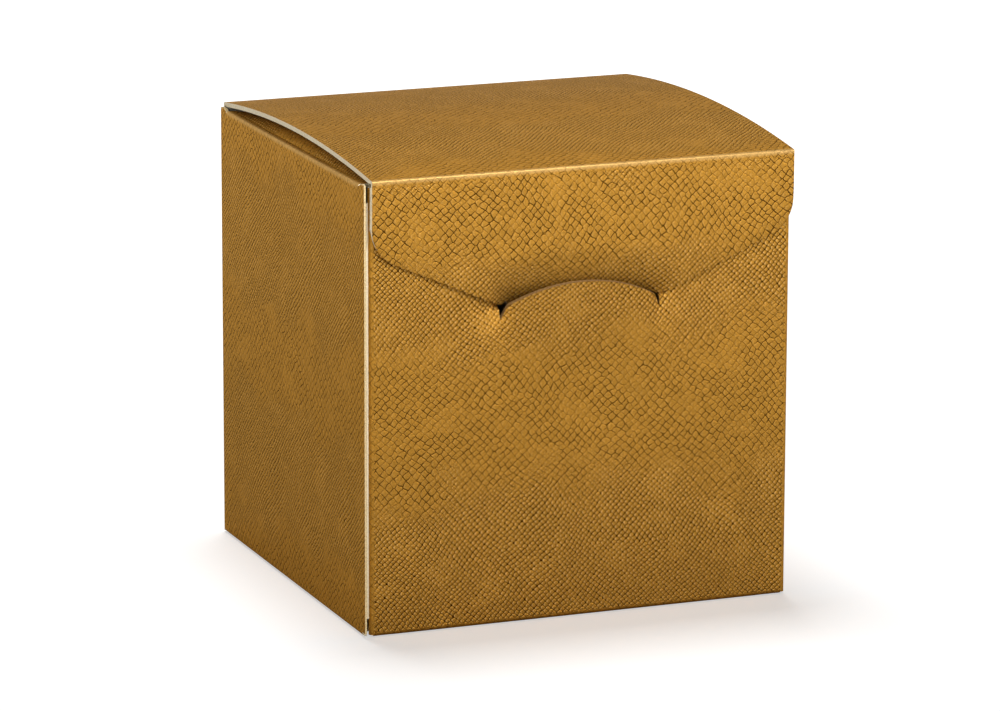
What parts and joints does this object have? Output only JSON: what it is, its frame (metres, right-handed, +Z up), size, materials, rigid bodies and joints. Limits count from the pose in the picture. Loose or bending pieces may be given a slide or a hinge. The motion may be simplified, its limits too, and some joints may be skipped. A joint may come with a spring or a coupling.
{
  "type": "favor box",
  "caption": "Folding board favor box with a glued sleeve, snap-lock base, dust flaps and a bowed lid whose envelope flap tucks into an arched slit in the front.",
  "frame": {"origin": "Centre of the sleeve's base, on the surface the box stands on.", "axes": "Z is up, the front with the envelope flap faces -Y, and X runs to the right seen from the front."},
  "size_m": [0.0602, 0.0578, 0.0625],
  "materials": {
    "gold_board": "satin gold face with a snakeskin emboss on pale board",
    "glue": "dried white glue"
  },
  "bodies": {
    "carton": {"front_wall": "gold_board", "right_wall": "gold_board", "back_wall": "gold_board", "left_wall": "gold_board", "front_right_crease": "gold_board", "right_back_crease": "gold_board", "back_left_crease": "gold_board", "seam_crease": "gold_board", "seam_flap": "gold_board", "seam_glue": "glue", "lid_crease": "gold_board", "left_dust_crease": "gold_board", "right_dust_crease": "gold_board", "base_front_flap": "gold_board", "base_front_crease": "gold_board", "base_back_flap": "gold_board", "base_back_crease": "gold_board", "base_left_flap": "gold_board", "base_left_crease": "gold_board", "base_right_flap": "gold_board", "base_right_crease": "gold_board"},
    "lid": {"lid": "gold_board", "tuck_crease": "gold_board"},
    "envelope": {"tuck_flap": "gold_board"},
    "left_dust": {"left_dust_flap": "gold_board"},
    "right_dust": {"right_dust_flap": "gold_board"}
  },
  "joints": [
    {"name": "lid_hinge", "type": "hinge", "parent": "carton", "child": "lid", "pos_m": [0.0004, 0.02828, 0.06053], "axis": [-1, 0, 0], "range_deg": [0, 180]},
    {"name": "envelope_hinge", "type": "hinge", "parent": "lid", "child": "envelope", "pos_m": [0.0004, -0.02888, 0.06053], "axis": [-1, 0, 0], "range_deg": [0, 36]},
    {"name": "left_dust_hinge", "type": "hinge", "parent": "carton", "child": "left_dust", "pos_m": [-0.02977, -0.0005, 0.05978], "axis": [0, -1, 0], "range_deg": [0, 117]},
    {"name": "right_dust_hinge", "type": "hinge", "parent": "carton", "child": "right_dust", "pos_m": [0.02977, -0.0005, 0.05978], "axis": [0, 1, 0], "range_deg": [0, 117]}
  ],
  "couplings": [
    {"joint": "envelope_hinge", "follows": "lid_hinge", "ratio": 0.2},
    {"joint": "left_dust_hinge", "follows": "lid_hinge", "ratio": 0.65},
    {"joint": "right_dust_hinge", "follows": "lid_hinge", "ratio": 0.65}
  ]
}
